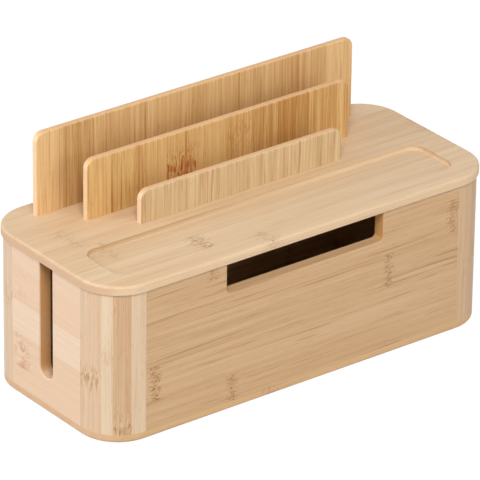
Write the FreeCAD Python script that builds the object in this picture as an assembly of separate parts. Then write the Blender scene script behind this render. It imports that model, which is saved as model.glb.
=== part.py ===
import FreeCAD
import Part
import math
import os

os.makedirs("parts", exist_ok=True)

# A bamboo cable box: four panels glued between four rounded corner posts, standing on a base board,
# under a loose lid that carries a shallow tray and three upright dividers.
# Millimetres. X runs along the box, the cable opening faces -Y, and Z = 0 is the desk.

# Box walls
box_length = 327.0
box_width = 139.0
wall_height = 103.5
wall_thickness = 9.5
box_corner_radius = 30.0
post_leg = 31.0            # from the outer corner to the glue seam, both ways
tongue_thickness = 3.2
tongue_depth = 6.0
tongue_end_gap = 0.4       # room for glue at the bottom of a groove
edge_ease = 0.6            # sanded edges of the cut-outs

# Cut-outs, all open at the top edge of the wall
opening_length = 132.0
opening_drop = 21.7
opening_corner_radius = 3.0
slot_width = 14.2
slot_drop = 84.2

# Base board and what is fixed to it
base_thickness = 6.0
base_edge_radius = 2.5
foot_radius = 6.0
foot_height = 1.5
foot_chamfer = 0.4
foot_inset = 22.0          # foot centre from the outer faces
base_screw_length = 20.0
base_screw_radius = 1.5
base_screw_margin = 0.2    # from a screw head to the rounded edge

# Lid
lid_thickness = 7.0
lid_overhang = 1.5
lid_top_edge_radius = 2.0
lid_under_chamfer = 0.8
block_leg = 26.0           # locating block, from the inner wall faces
block_height = 8.0
block_clearance = 0.8
block_edge = 1.2

# Tray milled in the lid
tray_length = 285.5
tray_width = 44.7
tray_centre_y = -32.5
tray_corner_radius = 11.4
tray_depth = 2.8
tray_cove_radius = 2.2

# Dividers
divider_thickness = 5.0
divider_first_y = 0.9      # front face of the front divider
divider_pitch = 25.2
divider_corner_radius = 7.0
divider_ease = 1.2
divider_shoulder = 6.0     # the tongue stops this far from each end
groove_depth = 3.0
groove_clearance = 0.1
front_divider_length = 170.2
front_divider_height = 23.8     # heights are above the lid
middle_divider_length = 222.0
middle_divider_height = 44.0
rear_divider_length = 268.4
rear_divider_height = 60.3
divider_screw_length = 16.0
divider_screw_radius = 1.5
divider_screw_inset = 24.0      # first and last screw from the ends of the divider
divider_screw_max_gap = 130.0   # a longer gap gets a screw in its middle

# Countersunk screws
head_ratio = 1.9           # head radius over shank radius
tip_ratio = 2.0            # tip length over shank radius
screw_clearance = 0.05
head_sink = 0.3            # heads stop this far inside the wood

# Cutting tools reach this far past the faces that they cut
overcut = 5.0

# Levels
base_bottom = foot_height
wall_bottom = base_bottom + base_thickness
wall_top = wall_bottom + wall_height
lid_top = wall_top + lid_thickness
groove_floor = lid_top - groove_depth

# Outlines
half_length = box_length / 2
half_width = box_width / 2
inner_radius = box_corner_radius - wall_thickness
corners = {
    "front_left": (-1, -1),
    "front_right": (1, -1),
    "rear_left": (-1, 1),
    "rear_right": (1, 1),
}
dividers = {
    "front_divider": (front_divider_length, front_divider_height),
    "middle_divider": (middle_divider_length, middle_divider_height),
    "rear_divider": (rear_divider_length, rear_divider_height),
}


def vec(x, y, z):
    return FreeCAD.Vector(x, y, z)


def box_between(low, high):
    size = [high[i] - low[i] for i in range(3)]
    return Part.makeBox(*size, vec(*low))


def rounded_prism(half_x, half_y, radius, bottom, top, centre=(0.0, 0.0)):
    """A prism on a rectangle with rounded corners."""
    cx, cy = centre
    edges = []
    for quarter in range(4):
        turn = quarter * math.pi / 2
        sign_x = 1 if quarter in (0, 3) else -1
        sign_y = 1 if quarter in (0, 1) else -1
        mid_x = cx + sign_x * (half_x - radius)
        mid_y = cy + sign_y * (half_y - radius)
        arc = [
            vec(mid_x + radius * math.cos(a), mid_y + radius * math.sin(a), bottom)
            for a in (turn, turn + math.pi / 4, turn + math.pi / 2)
        ]
        if edges and not edges[-1].Vertexes[-1].Point.isEqual(arc[0], 1e-6):
            edges.append(Part.LineSegment(edges[-1].Vertexes[-1].Point, arc[0]).toShape())
        edges.append(Part.Arc(*arc).toShape())
    last, first = edges[-1].Vertexes[-1].Point, edges[0].Vertexes[0].Point
    if not last.isEqual(first, 1e-6):
        edges.append(Part.LineSegment(last, first).toShape())
    face = Part.Face(Part.Wire(edges))
    return face.extrude(vec(0, 0, top - bottom))


def edges_at_level(shape, level):
    """Edges that lie flat at one height."""
    return [
        e for e in shape.Edges
        if all(abs(v.Z - level) < 1e-6 for v in e.Vertexes) and abs(e.CenterOfMass.z - level) < 1e-6
    ]


def screw(x, y, seat, length, radius):
    """A countersunk screw driven upwards, with its head's flat at the seat height."""
    head = radius * head_ratio
    cone = head - radius
    tip = radius * tip_ratio
    profile = [
        vec(0, 0, 0), vec(head, 0, 0), vec(radius, 0, cone),
        vec(radius, 0, length - tip), vec(0, 0, length), vec(0, 0, 0),
    ]
    body = Part.Face(Part.makePolygon(profile)).revolve(vec(0, 0, 0), vec(0, 0, 1), 360)
    body.translate(vec(x, y, seat + head_sink))
    return body


def screw_hole(x, y, seat, length, radius):
    """The hole for that screw: countersink, shank and the room at its tip."""
    head = radius * head_ratio + screw_clearance
    shank = radius + screw_clearance
    cone = head - shank
    profile = [
        vec(0, 0, -overcut), vec(head, 0, -overcut), vec(head, 0, head_sink), vec(shank, 0, head_sink + cone),
        vec(shank, 0, head_sink + length + screw_clearance), vec(0, 0, head_sink + length + screw_clearance),
        vec(0, 0, -overcut),
    ]
    hole = Part.Face(Part.makePolygon(profile)).revolve(vec(0, 0, 0), vec(0, 0, 1), 360)
    hole.translate(vec(x, y, seat))
    return hole


# Where the screws go: one up into each corner post, and a row under each divider
def base_screw_places():
    inset = base_edge_radius + base_screw_margin + base_screw_radius * head_ratio + screw_clearance
    reach = (box_corner_radius - inset) / math.sqrt(2)
    arc_x, arc_y = half_length - box_corner_radius, half_width - box_corner_radius
    return [(sx * (arc_x + reach), sy * (arc_y + reach)) for sx, sy in corners.values()]


def divider_front(name):
    return divider_first_y + divider_pitch * list(dividers).index(name)


def divider_screw_places(name):
    length = dividers[name][0]
    span = length - 2 * divider_screw_inset
    gaps = math.ceil(span / divider_screw_max_gap)
    y = divider_front(name) + divider_thickness / 2
    return [(span * (i / gaps - 0.5), y) for i in range(gaps + 1)]


# Walls
def wall_ring():
    outer = rounded_prism(half_length, half_width, box_corner_radius, wall_bottom, wall_top)
    inner = rounded_prism(
        half_length - wall_thickness, half_width - wall_thickness, inner_radius, wall_bottom, wall_top
    )
    return outer.cut(inner)


def drilled(shape, places, seat, length, radius):
    for x, y in places:
        shape = shape.cut(screw_hole(x, y, seat, length, radius))
    return shape


def tongue(sign_x, sign_y, along_x, depth):
    """The strip that crosses one glue seam, on the middle line of the wall."""
    seam_x = half_length - post_leg
    seam_y = half_width - post_leg
    near = (wall_thickness - tongue_thickness) / 2
    far = near + tongue_thickness
    if along_x:
        x = [sign_x * (seam_x - overcut), sign_x * (seam_x + depth)]
        y = [sign_y * (half_width - near), sign_y * (half_width - far)]
    else:
        x = [sign_x * (half_length - near), sign_x * (half_length - far)]
        y = [sign_y * (seam_y - overcut), sign_y * (seam_y + depth)]
    return box_between((min(x), min(y), wall_bottom), (max(x), max(y), wall_top))


def corner_post(ring, sign_x, sign_y):
    x = sorted((sign_x * (half_length - post_leg), sign_x * half_length))
    y = sorted((sign_y * (half_width - post_leg), sign_y * half_width))
    post = ring.common(box_between((x[0], y[0], wall_bottom), (x[1], y[1], wall_top)))
    for along_x in (True, False):
        post = post.cut(tongue(sign_x, sign_y, along_x, tongue_depth + tongue_end_gap))
    return drilled(post, base_screw_places(), base_bottom, base_screw_length, base_screw_radius)


def long_panel(ring, sign_y):
    reach = half_length - post_leg
    y = sorted((sign_y * (half_width - wall_thickness), sign_y * half_width))
    panel = ring.common(box_between((-reach, y[0], wall_bottom), (reach, y[1], wall_top)))
    for sign_x in (-1, 1):
        panel = panel.fuse(tongue(sign_x, sign_y, True, tongue_depth))
    return panel.removeSplitter()


def end_panel(ring, sign_x):
    reach = half_width - post_leg
    x = sorted((sign_x * (half_length - wall_thickness), sign_x * half_length))
    panel = ring.common(box_between((x[0], -reach, wall_bottom), (x[1], reach, wall_top)))
    for sign_y in (-1, 1):
        panel = panel.fuse(tongue(sign_x, sign_y, False, tongue_depth))
    return panel.removeSplitter()


def cut_out(width, drop, radius, along_x):
    """A slot cutter, open at the top, with two rounded lower corners, standing across a wall."""
    half_height = (drop + radius + overcut) / 2
    blank = rounded_prism(width / 2, half_height, radius, -box_length, box_length)
    blank.translate(vec(0, half_height - drop, 0))
    blank.rotate(vec(0, 0, 0), vec(1, 0, 0), 90)
    if not along_x:
        blank.rotate(vec(0, 0, 0), vec(0, 0, 1), 90)
    blank.translate(vec(0, 0, wall_top))
    return blank


def ease_cut_out(panel, axis, faces, reach):
    """Take the sharpness off the edges of a cut-out on both faces of its wall."""
    chosen = []
    for e in panel.Edges:
        on_face = any(all(abs(getattr(v.Point, axis) - f) < 1e-6 for v in e.Vertexes) for f in faces)
        along = "y" if axis == "x" else "x"
        inside = all(abs(getattr(v.Point, along)) < reach + 1e-6 for v in e.Vertexes)
        below = not all(abs(v.Z - wall_top) < 1e-6 for v in e.Vertexes)
        above = all(v.Z > wall_bottom + 1e-6 for v in e.Vertexes)
        if on_face and inside and below and above:
            chosen.append(e)
    return panel.makeChamfer(edge_ease, chosen)


def front_panel(ring):
    opening = cut_out(opening_length, opening_drop, opening_corner_radius, True)
    faces = (-half_width, wall_thickness - half_width)
    return ease_cut_out(long_panel(ring, -1).cut(opening), "y", faces, opening_length / 2)


def slotted_end_panel(ring, sign_x):
    slot = cut_out(slot_width, slot_drop, slot_width / 2, False)
    faces = (sign_x * half_length, sign_x * (half_length - wall_thickness))
    return ease_cut_out(end_panel(ring, sign_x).cut(slot), "x", faces, slot_width / 2)


# Base
def base_board():
    board = rounded_prism(half_length, half_width, box_corner_radius, base_bottom, wall_bottom)
    board = board.makeFillet(base_edge_radius, edges_at_level(board, base_bottom))
    return drilled(board, base_screw_places(), base_bottom, base_screw_length, base_screw_radius)


def foot(sign_x, sign_y):
    centre = vec(sign_x * (half_length - foot_inset), sign_y * (half_width - foot_inset), 0)
    pad = Part.makeCylinder(foot_radius, foot_height, centre)
    return pad.makeChamfer(foot_chamfer, edges_at_level(pad, 0.0))


def base_screws():
    return Part.makeCompound([
        screw(x, y, base_bottom, base_screw_length, base_screw_radius) for x, y in base_screw_places()
    ])


# Lid
def divider_tongue(name, top, clearance=0.0):
    """The round-ended foot of one divider. With clearance it is the cutter of the groove in the lid."""
    length = dividers[name][0]
    half_x = length / 2 - divider_shoulder + clearance
    half_y = divider_thickness / 2 + clearance
    y = divider_front(name) + divider_thickness / 2
    return rounded_prism(half_x, half_y, half_y, groove_floor, top, (0.0, y))


def lid_board():
    board = rounded_prism(
        half_length + lid_overhang, half_width + lid_overhang, box_corner_radius + lid_overhang,
        wall_top, lid_top,
    )
    board = board.makeFillet(lid_top_edge_radius, edges_at_level(board, lid_top))
    board = board.makeChamfer(lid_under_chamfer, edges_at_level(board, wall_top))
    tray = rounded_prism(
        tray_length / 2, tray_width / 2, tray_corner_radius,
        lid_top - tray_depth, lid_top + overcut, (0.0, tray_centre_y),
    )
    tray = tray.makeFillet(tray_cove_radius, edges_at_level(tray, lid_top - tray_depth))
    board = board.cut(tray)
    for name in dividers:
        board = board.cut(divider_tongue(name, lid_top + overcut, groove_clearance))
        board = drilled(
            board, divider_screw_places(name), wall_top, divider_screw_length, divider_screw_radius
        )
    return board


def divider(name):
    length, height = dividers[name]
    y = divider_front(name)
    half_height = height / 2 + divider_corner_radius    # the lower corners are cut away at the lid
    plate = rounded_prism(length / 2, half_height, divider_corner_radius, 0, divider_thickness)
    plate.translate(vec(0, height - half_height, 0))
    plate.rotate(vec(0, 0, 0), vec(1, 0, 0), 90)
    plate.translate(vec(0, y + divider_thickness, lid_top))
    faces = (y, y + divider_thickness)
    outline = [
        e for e in plate.Edges
        if any(all(abs(v.Y - f) < 1e-6 for v in e.Vertexes) for f in faces)
    ]
    plate = plate.makeFillet(divider_ease, outline)
    below = box_between((-length, y - overcut, 0), (length, y + divider_thickness + overcut, lid_top))
    plate = plate.cut(below).fuse(divider_tongue(name, lid_top)).removeSplitter()
    return drilled(plate, divider_screw_places(name), wall_top, divider_screw_length, divider_screw_radius)


def divider_screws():
    return Part.makeCompound([
        screw(x, y, wall_top, divider_screw_length, divider_screw_radius)
        for name in dividers for x, y in divider_screw_places(name)
    ])


def lid_block(sign_x, sign_y):
    """A quarter-round block under the lid that drops into one corner of the box."""
    gap = wall_thickness + block_clearance
    bottom = wall_top - block_height
    full = rounded_prism(
        half_length - gap, half_width - gap, inner_radius - block_clearance, bottom, wall_top
    )
    full = full.makeChamfer(block_edge, edges_at_level(full, bottom))
    x = sorted((sign_x * (half_length - gap - block_leg), sign_x * half_length))
    y = sorted((sign_y * (half_width - gap - block_leg), sign_y * half_width))
    return full.common(box_between((x[0], y[0], bottom), (x[1], y[1], wall_top)))


def save(name, shape):
    solids = shape.Solids
    if len(solids) == 1:
        shape = solids[0]
    print(f"{name}: {len(solids)} solid(s), valid {shape.isValid()}, {shape.Volume / 1000:.2f} cm3")
    shape.exportStep(f"parts/{name}.step")


ring = wall_ring()
save("front_panel", front_panel(ring))
save("back_panel", long_panel(ring, 1))
save("left_end_panel", slotted_end_panel(ring, -1))
save("right_end_panel", slotted_end_panel(ring, 1))
for place, (sign_x, sign_y) in corners.items():
    save(f"corner_post_{place}", corner_post(ring, sign_x, sign_y))
    save(f"foot_{place}", foot(sign_x, sign_y))
    save(f"lid_block_{place}", lid_block(sign_x, sign_y))
save("base_board", base_board())
save("base_screws", base_screws())
save("lid_board", lid_board())
for name in dividers:
    save(name, divider(name))
save("divider_screws", divider_screws())
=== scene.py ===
import bpy, math
from mathutils import Matrix, Vector


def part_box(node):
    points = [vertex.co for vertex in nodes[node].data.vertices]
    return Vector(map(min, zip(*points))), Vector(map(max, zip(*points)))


# Cable box in laminated bamboo: the frame holds every board, this script dresses and lights them.
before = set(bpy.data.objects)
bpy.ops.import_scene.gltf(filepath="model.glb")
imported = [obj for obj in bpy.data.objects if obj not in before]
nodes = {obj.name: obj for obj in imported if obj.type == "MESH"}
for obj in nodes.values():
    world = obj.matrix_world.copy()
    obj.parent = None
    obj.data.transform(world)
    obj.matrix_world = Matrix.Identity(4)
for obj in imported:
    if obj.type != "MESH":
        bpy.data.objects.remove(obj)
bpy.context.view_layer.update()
print("frame loaded:", len(nodes), "nodes")


# Camera: the photograph's viewpoint, a long lens from the front left and above

cameraView = {
    "place": (-1.8993, -2.4486, 1.6267),   # metres, from the centre of the underside
    "yaw": 37.769,                         # degrees from +Y towards +X
    "pitch": -26.503,
    "roll": 0.736,                         # the photograph leans a little
    "lens": 383.23,                        # mm, for the sensor width below
    "sensor": 36.0,
}


def setCamera(view):
    yaw, pitch, roll = (math.radians(view[k]) for k in ("yaw", "pitch", "roll"))
    ahead = Vector((math.sin(yaw) * math.cos(pitch), math.cos(yaw) * math.cos(pitch), math.sin(pitch)))
    level = Vector((math.cos(yaw), -math.sin(yaw), 0))
    above = level.cross(ahead)
    right = level * math.cos(roll) + above * math.sin(roll)
    up = above * math.cos(roll) - level * math.sin(roll)
    data = bpy.data.cameras.new("camera")
    data.lens, data.sensor_width = view["lens"], view["sensor"]
    camera = bpy.data.objects.new("camera", data)
    camera.matrix_world = Matrix((
        (right.x, up.x, -ahead.x, view["place"][0]),
        (right.y, up.y, -ahead.y, view["place"][1]),
        (right.z, up.z, -ahead.z, view["place"][2]),
        (0, 0, 0, 1),
    ))
    bpy.context.scene.collection.objects.link(camera)
    bpy.context.scene.camera = camera


setCamera(cameraView)
print("camera set")


# Small tools for the materials: sRGB hex to linear, a node with its settings and links, an empty material

mmPerMetre = 1000.0


def linear(hexColour):
    channels = [int(hexColour[i:i + 2], 16) / 255 for i in (1, 3, 5)]
    return tuple(c / 12.92 if c <= 0.04045 else ((c + 0.055) / 1.055) ** 2.4 for c in channels) + (1.0,)


def add(tree, kind, inputs=None, **settings):
    node = tree.nodes.new(kind)
    for name, value in settings.items():
        setattr(node, name, value)
    for key, value in (inputs or {}).items():
        if isinstance(value, bpy.types.NodeSocket):
            tree.links.new(value, node.inputs[key])
        else:
            node.inputs[key].default_value = value
    return node.outputs


def newMaterial(name):
    material = bpy.data.materials.new(name)
    material.use_nodes = True
    tree = material.node_tree
    tree.nodes.clear()
    return material, tree


def dress(nodeName, material):
    mesh = nodes[nodeName].data
    mesh.materials.clear()
    mesh.materials.append(material)


# Laminated bamboo, planed, sanded and sprayed with satin lacquer. What that gives the eye: straight pale
# strips about 25 mm wide, each in its own tone, with fibres that stop at the glue line, a ragged brown band
# where the culm had a node, and a soft sheen with no mirror in it.

bamboo = {                      # for every board, unless the board says otherwise; lengths in mm
    "fibreLength": 55.0,
    "fibreWidth": 0.62,         # real fibres are about 0.2, drawn coarser so that they show
    "streakLength": 170.0,
    "streakWidth": 3.6,
    "dashLength": 75.0,         # brown stains that follow the fibres
    "dashWidth": 1.9,
    "dashBand": (0.56, 0.74),   # noise levels between which a mark fades in, here and in the other bands
    "tickLength": 8.0,          # short dark bundles
    "tickWidth": 0.45,
    "tickBand": (0.66, 0.78),
    "ticks": 0.25,
    "knotPitch": 300.0,         # between two culm nodes on one strip
    "knotReach": 200.0,         # how far a node may lie from the middle, each way
    "knotBand": (3.2, 0.4),     # mm from the node, where its brown band has faded out and where it is full
    "knotShare": 0.35,          # how brown the band is between its flecks
    "knots": 0.6,
    "haloBand": (9.0, 2.0),     # the same for the flecks round it
    "fleckLength": 3.2,
    "fleckWidth": 1.1,
    "fleckBand": (0.50, 0.62),
    "paleBand": (0.44, 0.36),   # pale flecks between the brown ones
    "paleShare": 0.45,
    "tornLength": 12.0,         # how the fibres tear up and down from the band
    "tornWidth": 1.7,
    "ragged": 14.0,
    "seamWidth": 0.45,          # a glue line is about 0.1, drawn wider so that it shows
    "seams": 0.5,
    "poreWidth": 0.8,           # fibre bundles seen end on, about twice their real size
    "poreBand": (0.12, 0.34),
    "poreShade": 0.72,
    "cutBand": (0.55, 0.95),    # how far a face must turn to the grain to count as a cut end
    "edgeBand": (0.5, 0.95),
    # pale pink painted highlight on faces that turn to the strips' sides
    "edge": "#e8c9a4",
    "edgeHighlightShare": 0.0,           # painted highlight on sawn side edges, only on the dividers
    "warmShare": 0.5,
    "noiseRoughness": 0.55,
    "seedStep": 913.0,          # moves the pattern from strip to strip
    "roughness": 0.44,          # satin lacquer, about 0.5 with the fibres' share
    "fibreRoughness": 0.12,
    "cutRoughness": 0.12,       # cut ends drink the lacquer
    "ior": 1.4,                 # lacquer is about 1.5, its thin matted coat reflects less
    "sunk": -0.8,               # nodes and glue lines lie lower than the fibres
    "bumpStrength": 0.35,
    "bumpDepth": 0.00012,       # metres
}


def stripStops(strips, low, high):
    # one flat stop for each strip: tone, node place from 0 to 1, warmth, and node strength in the alpha
    reach = bamboo["knotReach"]
    for edge, tone, knot, warmth, strength in strips:
        place = min(max((edge - low) / (high - low), 0.0), 1.0)
        yield place, (tone, 0.5 + knot / (2 * reach), warmth, strength)


def seamStops(strips, low, high):
    # a thin white peak at each glue line
    half = bamboo["seamWidth"] / 2
    for strip in strips[1:]:
        for offset, value in ((-half, 0.0), (0.0, 1.0), (half, 0.0)):
            yield (strip[0] + offset - low) / (high - low), (value, value, value, 1.0)


def fillRamp(ramp, stops, interpolation):
    # a ramp never has less than one stop, so the first one is used again
    ramp.interpolation = interpolation
    while len(ramp.elements) > 1:
        ramp.elements.remove(ramp.elements[-1])
    first = True
    for place, colour in stops:
        stop = ramp.elements[0] if first else ramp.elements.new(place)
        stop.position, stop.color = place, colour
        first = False


def bambooBoard(name, board):
    board = {**bamboo, **board}
    material, tree = newMaterial(name)
    strips = board["strips"]
    low, high = board["span"]
    grain, across = Vector(board["grain"]), Vector(board["across"])
    depth = grain.cross(across)
    knotColour = linear(board["knot"])

    place = add(tree, "ShaderNodeTexCoord")
    mm = add(tree, "ShaderNodeVectorMath", {0: place["Object"], "Scale": mmPerMetre}, operation="SCALE")[0]
    along, side, deep = (
        add(tree, "ShaderNodeVectorMath", {0: mm, 1: tuple(d)}, operation="DOT_PRODUCT")["Value"]
        for d in (grain, across, depth)
    )

    # which strip this is
    share = add(tree, "ShaderNodeMapRange", {"Value": side, "From Min": low, "From Max": high})[0]
    stripRamp = add(tree, "ShaderNodeValToRGB", {"Fac": share})
    fillRamp(tree.nodes[-1].color_ramp, stripStops(strips, low, high), "CONSTANT")
    seamRamp = add(tree, "ShaderNodeValToRGB", {"Fac": share})
    fillRamp(tree.nodes[-1].color_ramp, [(0.0, (0, 0, 0, 1)), *seamStops(strips, low, high)], "LINEAR")
    tone, knotCode, warmth = add(tree, "ShaderNodeSeparateColor", {0: stripRamp["Color"]})
    seed = add(tree, "ShaderNodeMath", {
        0: knotCode, 1: board["seedStep"], 2: board["seed"]}, operation="MULTIPLY_ADD")[0]

    def stretched(length, width, detail, distortion=0.0):
        # noise drawn out along the grain, different on every strip
        u = add(tree, "ShaderNodeMath", {0: along, 1: 1 / length, 2: seed}, operation="MULTIPLY_ADD")[0]
        v = add(tree, "ShaderNodeMath", {0: side, 1: 1 / width}, operation="MULTIPLY")[0]
        w = add(tree, "ShaderNodeMath", {0: deep, 1: 1 / width}, operation="MULTIPLY")[0]
        vector = add(tree, "ShaderNodeCombineXYZ", {0: u, 1: v, 2: w})[0]
        return add(tree, "ShaderNodeTexNoise", {
            "Vector": vector, "Scale": 1.0, "Detail": detail,
            "Roughness": board["noiseRoughness"], "Distortion": distortion,
        })[0]

    fibre = stretched(board["fibreLength"], board["fibreWidth"], 2.0)
    streak = stretched(board["streakLength"], board["streakWidth"], 3.0)
    tickNoise = stretched(board["tickLength"], board["tickWidth"], 0.0)
    dashNoise = stretched(board["dashLength"], board["dashWidth"], 2.0, 0.3)
    fleckNoise = stretched(board["fleckLength"], board["fleckWidth"], 2.0, 1.0)

    # how far this place is from the strip's culm node, along torn fibres
    knotPlace = add(tree, "ShaderNodeMapRange", {
        "Value": knotCode, "To Min": -board["knotReach"], "To Max": board["knotReach"]}, clamp=False)[0]
    torn = stretched(board["tornLength"], board["tornWidth"], 3.0)
    shift = add(tree, "ShaderNodeMath", {
        0: torn, 1: board["ragged"], 2: -board["ragged"] / 2}, operation="MULTIPLY_ADD")[0]
    apart = add(tree, "ShaderNodeMath", {0: along, 1: knotPlace}, operation="SUBTRACT")[0]
    apart = add(tree, "ShaderNodeMath", {0: apart, 1: shift}, operation="ADD")[0]
    apart = add(tree, "ShaderNodeMath", {0: apart, 1: board["knotPitch"] / 2}, operation="PINGPONG")[0]

    # how squarely the face cuts across the grain, and how squarely it runs along the strip's side
    endOn, sideOn = (
        add(tree, "ShaderNodeMath", {0: add(tree, "ShaderNodeVectorMath", {
            0: place["Normal"], 1: tuple(d)}, operation="DOT_PRODUCT")["Value"]}, operation="ABSOLUTE")[0]
        for d in (grain, across)
    )

    # each mark fades in between the two levels of its band
    shows = {}
    for kind, value in (
        ("tick", tickNoise), ("dash", dashNoise), ("fleck", fleckNoise), ("pale", fleckNoise),
        ("knot", apart), ("halo", apart), ("cut", endOn), ("edge", sideOn),
    ):
        nothing, full = board[kind + "Band"]
        shows[kind] = add(tree, "ShaderNodeMapRange", {
            "Value": value, "From Min": nothing, "From Max": full}, interpolation_type="SMOOTHSTEP")[0]

    # the node itself: a ragged brown band with flecks round it, brown and pale
    fleck, pale = (
        add(tree, "ShaderNodeMath", {0: shows[kind], 1: shows["halo"]}, operation="MULTIPLY")[0]
        for kind in ("fleck", "pale")
    )
    mark = add(tree, "ShaderNodeMath", {
        0: shows["knot"], 1: board["knotShare"], 2: fleck}, operation="MULTIPLY_ADD")[0]
    mark = add(tree, "ShaderNodeMath", {0: mark, 1: stripRamp["Alpha"]}, operation="MULTIPLY")[0]
    mark = add(tree, "ShaderNodeMath", {
        0: mark, 1: board["knots"]}, operation="MULTIPLY", use_clamp=True)[0]
    pale = add(tree, "ShaderNodeMath", {0: pale, 1: stripRamp["Alpha"]}, operation="MULTIPLY")[0]
    pale = add(tree, "ShaderNodeMath", {0: pale, 1: board["paleShare"]}, operation="MULTIPLY")[0]

    # tone of the wood: the strip's own, moved up and down by fibres and streaks
    for pattern, strength in ((fibre, board["fibre"]), (streak, board["streak"])):
        moved = add(tree, "ShaderNodeMath", {
            0: pattern, 1: strength, 2: -strength / 2}, operation="MULTIPLY_ADD")[0]
        tone = add(tree, "ShaderNodeMath", {0: tone, 1: moved}, operation="ADD")[0]
    tone = add(tree, "ShaderNodeMath", {
        0: shows["tick"], 1: board["ticks"], 2: tone}, operation="MULTIPLY_ADD", use_clamp=True)[0]
    warm = add(tree, "ShaderNodeMath", {0: warmth, 1: board["warmShare"]}, operation="MULTIPLY")[0]
    dash = add(tree, "ShaderNodeMath", {0: shows["dash"], 1: board["dashes"]}, operation="MULTIPLY")[0]
    seam = add(tree, "ShaderNodeMath", {0: streak, 1: board["seams"]}, operation="MULTIPLY")[0]
    seam = add(tree, "ShaderNodeMath", {0: seamRamp["Color"], 1: seam}, operation="MULTIPLY")[0]
    layers = [
        (tone, linear(board["dark"])), (warm, linear(board["warm"])), (mark, knotColour),
        (pale, linear(board["light"])), (dash, knotColour), (seam, knotColour),
    ]

    # cut ends are dotted with the fibre bundles, and sawn side edges are painted pale and pink, a painted
    # highlight
    v = add(tree, "ShaderNodeMath", {0: side, 1: 1 / board["poreWidth"]}, operation="MULTIPLY")[0]
    w = add(tree, "ShaderNodeMath", {0: deep, 1: 1 / board["poreWidth"]}, operation="MULTIPLY")[0]
    poreVector = add(tree, "ShaderNodeCombineXYZ", {0: v, 1: w})[0]
    pores = add(tree, "ShaderNodeTexVoronoi", {
        "Vector": poreVector, "Scale": 1.0}, voronoi_dimensions="2D")[0]
    pore = add(tree, "ShaderNodeMapRange", {
        "Value": pores, "From Min": board["poreBand"][0], "From Max": board["poreBand"][1],
        "To Min": 1.0, "To Max": board["poreShade"]})[0]
    cutEnd = add(tree, "ShaderNodeMath", {0: pore, 1: shows["cut"]}, operation="MULTIPLY")[0]
    paintedHighlight = add(tree, "ShaderNodeMath", {0: shows["edge"], 1: board["edgeHighlightShare"]}, operation="MULTIPLY")[0]
    layers += [(cutEnd, linear(board["cut"])), (paintedHighlight, linear(board["edge"]))]

    if "paintedCoveShade" in board:
        # painted shade on the tray's coved rim, darker where the face turns from level, and most at the
        # left end
        paintedCoveShade = board["paintedCoveShade"]
        level = add(tree, "ShaderNodeSeparateXYZ", {0: place["Normal"]})["Z"]
        slope = add(tree, "ShaderNodeMapRange", {
            "Value": level, "From Min": paintedCoveShade["slope"][0], "From Max": paintedCoveShade["slope"][1],
            "To Max": paintedCoveShade["share"]}, interpolation_type="SMOOTHSTEP")[0]
        fade = add(tree, "ShaderNodeMapRange", {
            "Value": along, "From Min": paintedCoveShade["fade"][0], "From Max": paintedCoveShade["fade"][1],
            "To Min": 1.0, "To Max": paintedCoveShade["least"]})[0]
        slope = add(tree, "ShaderNodeMath", {0: slope, 1: fade}, operation="MULTIPLY")[0]
        for value, (middle, half) in ((along, paintedCoveShade["along"]), (side, paintedCoveShade["across"])):
            off = add(tree, "ShaderNodeMath", {0: value, 1: middle}, operation="SUBTRACT")[0]
            off = add(tree, "ShaderNodeMath", {0: off}, operation="ABSOLUTE")[0]
            inTray = add(tree, "ShaderNodeMath", {0: off, 1: half}, operation="LESS_THAN")[0]
            slope = add(tree, "ShaderNodeMath", {0: slope, 1: inTray}, operation="MULTIPLY")[0]
        layers.append((slope, linear(paintedCoveShade["colour"])))

    # each layer's colour over the ones before it
    wood = linear(board["light"])
    for amount, colour in layers:
        wood = add(tree, "ShaderNodeMix", {0: amount, 6: wood, 7: colour}, data_type="RGBA")[2]

    # the lacquer follows the fibres a little, and is duller on the cut ends
    gloss = add(tree, "ShaderNodeMath", {
        0: fibre, 1: board["fibreRoughness"], 2: board["roughness"]}, operation="MULTIPLY_ADD")[0]
    gloss = add(tree, "ShaderNodeMath", {
        0: shows["cut"], 1: board["cutRoughness"], 2: gloss}, operation="MULTIPLY_ADD")[0]
    height = add(tree, "ShaderNodeMath", {0: mark, 1: board["sunk"], 2: fibre}, operation="MULTIPLY_ADD")[0]
    height = add(tree, "ShaderNodeMath", {
        0: seam, 1: board["sunk"], 2: height}, operation="MULTIPLY_ADD")[0]
    bump = add(tree, "ShaderNodeBump", {
        "Height": height, "Strength": board["bumpStrength"], "Distance": board["bumpDepth"]})[0]
    shader = add(tree, "ShaderNodeBsdfPrincipled", {
        "Base Color": wood, "Roughness": gloss, "IOR": board["ior"], "Normal": bump})[0]
    add(tree, "ShaderNodeOutputMaterial", {"Surface": shader})
    return material


alongBox, acrossBox, upright = (1, 0, 0), (0, 1, 0), (0, 0, 1)

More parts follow.
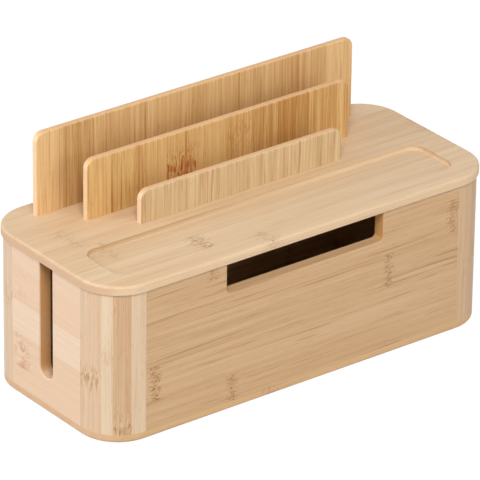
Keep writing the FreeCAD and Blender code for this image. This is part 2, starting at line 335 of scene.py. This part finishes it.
# strips: lower edge mm, tone 0 light to 1 dark, place of the culm node mm, warmth, strength of the node
frontPanel = {
    "grain": alongBox, "across": upright, "span": (5.0, 113.0), "seed": 3.0,
    "light": "#d2b590", "dark": "#b1895d", "warm": "#d0a57c", "knot": "#94663a", "cut": "#dba868",
    "fibre": 0.55, "streak": 1.1, "dashes": 0.55, "ticks": 0.25, "seams": 0.6, "knots": 0.75,
    "fleckLength": 2.4, "fleckWidth": 1.2, "haloBand": (7.0, 2.0), "ragged": 8.0,
    "strips": [
        (5.0, 0.42, -61.0, 0.25, 0.8), (27.5, 0.38, -125.0, 0.3, 1.0), (53.0, 0.46, 72.0, 0.2, 0.8),
        (78.0, 0.42, 127.0, 0.3, 0.8), (102.5, 0.50, -77.0, 0.4, 0.7),
    ],
}
backPanel = {
    **frontPanel, "seed": 17.0,
    "strips": [
        (5.0, 0.48, 88.0, 0.3, 0.8), (24.0, 0.36, -42.0, 0.2, 0.9), (49.5, 0.50, 131.0, 0.3, 0.7),
        (74.5, 0.40, -104.0, 0.4, 0.9), (99.5, 0.44, 15.0, 0.2, 0.7),
    ],
}
leftEndPanel = {
    "grain": acrossBox, "across": upright, "span": (5.0, 113.0), "seed": 5.0,
    "light": "#e1c9ae", "dark": "#cfa67e", "warm": "#deb796", "knot": "#b98560", "cut": "#cd9658",
    "fibre": 0.35, "streak": 0.5, "dashes": 0.15, "ticks": 0.15, "seams": 0.4, "knots": 0.6,
    "fleckLength": 7.0, "fleckWidth": 5.0, "haloBand": (13.0, 2.0), "ragged": 8.0,
    "strips": [
        (5.0, 0.45, 190.0, 0.4, 0.4), (22.5, 0.50, 27.0, 0.4, 0.9), (47.5, 0.16, 175.0, 0.2, 0.5),
        (72.0, 0.44, 29.0, 0.5, 0.25), (97.0, 0.36, 160.0, 0.4, 0.4),
    ],
}
rightEndPanel = {
    **leftEndPanel, "seed": 23.0,
    "strips": [
        (5.0, 0.35, 175.0, 0.4, 0.4), (20.0, 0.42, -28.0, 0.3, 0.8), (45.0, 0.30, 160.0, 0.2, 0.5),
        (70.0, 0.50, 188.0, 0.5, 0.5), (95.0, 0.36, 20.0, 0.4, 0.6),
    ],
}
lidBoard = {
    "grain": alongBox, "across": acrossBox, "span": (-73.0, 73.0), "seed": 11.0,
    "light": "#dec7a7", "dark": "#c29d73", "warm": "#d8b693", "knot": "#9a6f45", "cut": "#c7a07c",
    "fibre": 0.3, "streak": 1.1, "dashes": 0.22, "ticks": 0.18, "seams": 0.4, "knots": 0.8,
    "streakWidth": 7.0, "haloBand": (11.0, 2.0),
    "paintedCoveShade": {                   # painted shade on the tray's rim, and on the underside below it
        "along": (0.0, 146.0), "across": (-32.5, 25.0),     # middle and half length each way, mm
        "slope": (0.97, 0.75),                              # how level the flat and the rim are
        "fade": (-90.0, 60.0), "least": 0.1,                # the painted shade, from full to least along the box, mm
        # colour of the painted shade, and its share at most
        "share": 0.6, "colour": "#a98253",
    },
    "strips": [
        (-73.0, 0.30, -29.0, 0.35, 0.5), (-54.5, 0.28, -66.0, 0.2, 0.9), (-29.5, 0.40, 176.0, 0.2, 0.4),
        # the two strips from 24 mm on are partly their own tone and partly painted shade, darkened for the
        # dividers' shadow behind them
        (-4.0, 0.42, -137.0, 0.3, 0.35), (24.0, 0.46, 92.0, 0.3, 0.6), (50.0, 0.42, 20.0, 0.4, 0.5),
    ],
}
baseBoard = {
    **lidBoard, "seed": 29.0,
    "light": "#d6b68a", "dark": "#b48a5b", "warm": "#d3a57a", "knot": "#8a5c35", "cut": "#cda682",
}
rearDivider = {
    "grain": upright, "across": alongBox, "span": (-136.0, 136.0), "seed": 7.0,
    "light": "#e5c38f", "dark": "#b4864b", "warm": "#d7a971", "knot": "#a0602a", "cut": "#dcb48c",
    "fibre": 1.5, "streak": 1.2, "dashes": 0.55, "ticks": 0.3, "seams": 0.9, "knots": 0.8,
    # the dividers' sawn ends get the pale painted highlight
    "fleckLength": 7.0, "fleckWidth": 1.3, "haloBand": (12.0, 2.0), "fibreWidth": 1.0, "edgeHighlightShare": 0.85,
    "strips": [
        (-136.0, 0.10, 20.0, 0.6, 0.5), (-116.0, 0.62, 60.0, 0.0, 0.5), (-88.0, 0.44, 30.0, 0.4, 0.5),
        (-64.0, 0.52, 10.0, 0.3, 0.5), (-40.0, 0.44, 55.0, 0.5, 0.5), (-15.0, 0.50, 25.0, 0.4, 0.5),
        (10.0, 0.54, 5.0, 0.5, 0.5), (35.0, 0.46, 35.0, 0.5, 0.5), (61.0, 0.58, 60.0, 0.6, 0.5),
        (86.0, 0.50, 15.0, 0.5, 0.5), (110.0, 0.34, 45.0, 0.5, 0.5),
    ],
}
middleDivider = {
    **rearDivider, "seed": 13.0,
    # the edge colour here is the painted highlight on this divider's sawn ends
    "light": "#e1be82", "dark": "#ab7635", "knot": "#a85c20", "edge": "#e7c8a0",
    "knots": 1.35, "haloBand": (18.0, 2.0),
    "strips": [
        (-136.0, 0.30, 10.0, 0.35, 0.5), (-92.0, 0.42, 20.0, 0.0, 0.5), (-68.0, 0.40, 65.0, 0.4, 0.5),
        (-45.0, 0.46, 136.0, 0.3, 1.0), (-21.0, 0.38, 30.0, 0.3, 0.5), (5.0, 0.46, 147.0, 0.3, 0.28),
        (28.0, 0.66, 15.0, 0.3, 0.5), (50.0, 0.84, 40.0, 0.3, 0.5), (76.0, 0.62, 70.0, 0.3, 0.5),
        (100.0, 0.42, 25.0, 0.3, 0.5),
    ],
}
frontDivider = {
    **rearDivider, "seed": 19.0, "light": "#dcc59d", "dark": "#b38d5c", "warm": "#d2b28a",
    "strips": [
        (-136.0, 0.46, 10.0, 0.3, 0.5), (-65.0, 0.34, 50.0, 0.2, 0.5), (-40.0, 0.40, 30.0, 0.1, 0.5),
        (-14.0, 0.42, 65.0, 0.1, 0.5), (10.0, 0.44, 15.0, 0.2, 0.5), (35.0, 0.38, 55.0, 0.1, 0.5),
        (60.0, 0.40, 35.0, 0.1, 0.5),
    ],
}
lidBlocks = {
    **lidBoard, "seed": 31.0, "grain": acrossBox, "across": alongBox, "span": (-170.0, 170.0),
    "strips": [(-170.0, 0.4, 150.0, 0.3, 0.5), (0.0, 0.5, 150.0, 0.3, 0.5)],
}

# The posts are cut from upright strips, so their tones change along a diagonal of the box.
post = {
    "reach": 24.0,              # mm from the middle of the curve to the post's ends, along the diagonal
    "cornerInset": 1.0,         # mm from the inner ends of the post to the centre of its curve
    "firstSeed": 41.0,
    "grain": upright,
    "light": "#d9c3a6", "dark": "#b98d60", "warm": "#d2aa88", "knot": "#a87a42", "cut": "#c39a68",
    "fibre": 0.6, "streak": 0.7, "dashes": 0.2, "ticks": 0.3, "seams": 0.4, "knots": 0.75,
    "fleckLength": 9.0, "fleckWidth": 1.7, "haloBand": (14.0, 2.0), "ragged": 18.0,
}
postStrips = {
    "front_left": [(-7.0, 0.36, 48.0, 0.4, 1.0), (1.4, 0.06, 66.0, 0.1, 0.35), (13.0, 0.62, 12.0, 0.0, 1.0),
                   (23.0, 0.14, 190.0, 0.1, 0.3)],
    "front_right": [(-9.0, 0.55, 30.0, 0.3, 0.5), (3.0, 0.40, 80.0, 0.3, 0.5), (11.0, 0.62, 55.0, 0.3, 0.6),
                    (23.0, 0.45, 190.0, 0.2, 0.3)],
    "rear_left": [(-11.0, 0.30, 70.0, 0.4, 0.5), (-1.0, 0.12, 20.0, 0.2, 0.4), (9.0, 0.45, 90.0, 0.3, 0.6),
                  (23.0, 0.25, 190.0, 0.1, 0.3)],
    "rear_right": [(-8.0, 0.50, 40.0, 0.4, 0.5), (2.0, 0.30, 95.0, 0.2, 0.4), (12.0, 0.52, 65.0, 0.3, 0.6),
                   (23.0, 0.35, 190.0, 0.1, 0.3)],
}


def postBoard(corner, strips):
    # the diagonal runs round the post's outside, from the end of the box to its long side
    lowest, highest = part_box("corner_post_" + corner)
    signX = 1 if "right" in corner else -1
    signY = 1 if "rear" in corner else -1
    diagonal = Vector((-signX, signY, 0)) / math.sqrt(2)
    centre = []
    for i, sign in ((0, signX), (1, signY)):
        outer = max(abs(lowest[i]), abs(highest[i]))
        leg = highest[i] - lowest[i]
        centre.append(sign * ((outer - leg) * mmPerMetre + post["cornerInset"]))
    zero = Vector((*centre, 0)).dot(diagonal)
    reach = post["reach"]
    edges = [-reach] + [strip[0] for strip in strips[:-1]]
    placed = [(zero + edge, *strip[1:]) for edge, strip in zip(edges, strips)]
    return {**post, "across": tuple(diagonal), "span": (zero - reach, zero + reach),
            "seed": post["firstSeed"] + signX * 3 + signY, "strips": placed}


boards = {
    "front_panel": frontPanel, "back_panel": backPanel,
    "left_end_panel": leftEndPanel, "right_end_panel": rightEndPanel,
    "lid_board": lidBoard, "base_board": baseBoard,
    "rear_divider": rearDivider, "middle_divider": middleDivider, "front_divider": frontDivider,
}
for nodeName, board in boards.items():
    dress(nodeName, bambooBoard("laminatedBamboo_" + nodeName, board))
for corner, strips in postStrips.items():
    dress("corner_post_" + corner, bambooBoard("laminatedBamboo_post_" + corner, postBoard(corner, strips)))
blockMaterial = bambooBoard("sandedBamboo", lidBlocks)
for corner in postStrips:
    dress("lid_block_" + corner, blockMaterial)
print("bamboo dressed:", len(boards) + 2 * len(postStrips), "boards")


# Screws: steel, pressed and zinc-plated. What that gives the eye: bright grey, with a gloss that is
# slightly clouded.

screws = {
    "colour": "#b9bab8", "gloss": (0.24, 0.42),
    "cloudScale": 900.0, "cloudDetail": 3.0,            # per metre, which gives clouds of about 1.1 mm
}


def zincPlatedSteel():
    material, tree = newMaterial("zincPlatedSteel")
    place = add(tree, "ShaderNodeTexCoord")
    cloud = add(tree, "ShaderNodeTexNoise", {
        "Vector": place["Object"], "Scale": screws["cloudScale"],
        "Detail": screws["cloudDetail"]})[0]
    gloss = add(tree, "ShaderNodeMapRange", {
        "Value": cloud, "To Min": screws["gloss"][0], "To Max": screws["gloss"][1]})[0]
    shader = add(tree, "ShaderNodeBsdfPrincipled", {
        "Base Color": linear(screws["colour"]), "Metallic": 1.0, "Roughness": gloss})[0]
    add(tree, "ShaderNodeOutputMaterial", {"Surface": shader})
    return material


# Feet: soft silicone, moulded. What that gives the eye: milky and even, with a dull, finely pitted skin.

feet = {
    "colour": "#cfccc2", "roughness": 0.55, "ior": 1.41,
    "gritWidth": 0.4, "gritDetail": 2.0,                # mm
    "bumpStrength": 0.2, "bumpDepth": 0.00005,          # metres
}


def mouldedSilicone():
    material, tree = newMaterial("mouldedSilicone")
    place = add(tree, "ShaderNodeTexCoord")
    grit = add(tree, "ShaderNodeTexNoise", {
        "Vector": place["Object"], "Scale": mmPerMetre / feet["gritWidth"],
        "Detail": feet["gritDetail"]})[0]
    bump = add(tree, "ShaderNodeBump", {
        "Height": grit, "Strength": feet["bumpStrength"], "Distance": feet["bumpDepth"]})[0]
    shader = add(tree, "ShaderNodeBsdfPrincipled", {
        "Base Color": linear(feet["colour"]), "Roughness": feet["roughness"],
        "IOR": feet["ior"], "Normal": bump})[0]
    add(tree, "ShaderNodeOutputMaterial", {"Surface": shader})
    return material


steel, silicone = zincPlatedSteel(), mouldedSilicone()
for nodeName in ("base_screws", "divider_screws"):
    dress(nodeName, steel)
for corner in postStrips:
    dress("foot_" + corner, silicone)
print("screws and feet dressed")


# Floor, world and lamps: a small white studio

studio = {
    "world": 0.3,               # the fill from all round
    "floorSize": 8.0,           # metres
    "floorDrop": 0.0003,        # metres, just clear of the feet
    "floorColour": "#cccccc",
    "floorGlow": 1.12,          # the white that is seen, while the paper lights the box as light grey
    "floorShows": 0.12,         # how much of the shadow on the paper is seen
    "lampTarget": (0, 0, 0.08),
    "lamps": {                  # place m, size m, watts, colour
        "keyLamp": ((-1.0, -1.35, 2.0), 1.0, 46.0, "#fffaf4"),
        "sideLamp": ((-1.85, 0.6, 0.8), 1.3, 24.0, "#e9f0ff"),
        "frontLamp": ((0.9, -2.2, 0.9), 1.4, 16.0, "#fffdfa"),
        "backLamp": ((-1.0, 2.4, 0.4), 1.4, 10.0, "#ffffff"),
    },
}


def seenDirectly(tree):
    # 1 for what the camera sees, also in a gloss or through glass
    path = add(tree, "ShaderNodeLightPath")
    seen = path["Is Camera Ray"]
    for ray in ("Is Glossy Ray", "Is Transmission Ray"):
        seen = add(tree, "ShaderNodeMath", {0: seen, 1: path[ray]}, operation="ADD", use_clamp=True)[0]
    return seen


def setWorld():
    world = bpy.data.worlds.new("studio")
    bpy.context.scene.world = world
    world.use_nodes = True
    tree = world.node_tree
    tree.nodes.clear()
    fill = add(tree, "ShaderNodeBackground", {"Color": (1, 1, 1, 1), "Strength": studio["world"]})[0]
    white = add(tree, "ShaderNodeBackground", {"Color": (1, 1, 1, 1), "Strength": 1.0})[0]
    mixed = add(tree, "ShaderNodeMixShader", {0: seenDirectly(tree), 1: fill, 2: white})[0]
    add(tree, "ShaderNodeOutputWorld", {"Surface": mixed})


def makeFloor():
    half = studio["floorSize"] / 2
    mesh = bpy.data.meshes.new("floor")
    corners = [(-half, -half, 0), (half, -half, 0), (half, half, 0), (-half, half, 0)]
    mesh.from_pydata(corners, [], [(0, 1, 2, 3)])
    floor = bpy.data.objects.new("floor", mesh)
    floor.location.z = -studio["floorDrop"]
    bpy.context.scene.collection.objects.link(floor)
    material, tree = newMaterial("mattPaper")      # no sheen, so only the shadow shows on it
    diffuse = add(tree, "ShaderNodeBsdfDiffuse", {"Color": linear(studio["floorColour"])})[0]
    glow = add(tree, "ShaderNodeEmission", {"Color": (1, 1, 1, 1), "Strength": studio["floorGlow"]})[0]
    share = add(tree, "ShaderNodeMath", {
        0: seenDirectly(tree), 1: 1.0 - studio["floorShows"]}, operation="MULTIPLY")[0]
    mixed = add(tree, "ShaderNodeMixShader", {0: share, 1: diffuse, 2: glow})[0]
    add(tree, "ShaderNodeOutputMaterial", {"Surface": mixed})
    mesh.materials.append(material)


def addLamp(name, place, size, watts, colour):
    data = bpy.data.lights.new(name, "AREA")
    data.size, data.energy, data.color = size, watts, linear(colour)[:3]
    lamp = bpy.data.objects.new(name, data)
    lamp.location = place
    aim = Vector(studio["lampTarget"]) - Vector(place)
    lamp.rotation_euler = aim.to_track_quat("-Z", "Y").to_euler()
    bpy.context.scene.collection.objects.link(lamp)


setWorld()
makeFloor()
for name, (place, size, watts, colour) in studio["lamps"].items():
    addLamp(name, place, size, watts, colour)
bpy.context.scene.view_settings.view_transform = "Standard"
print("studio lit")
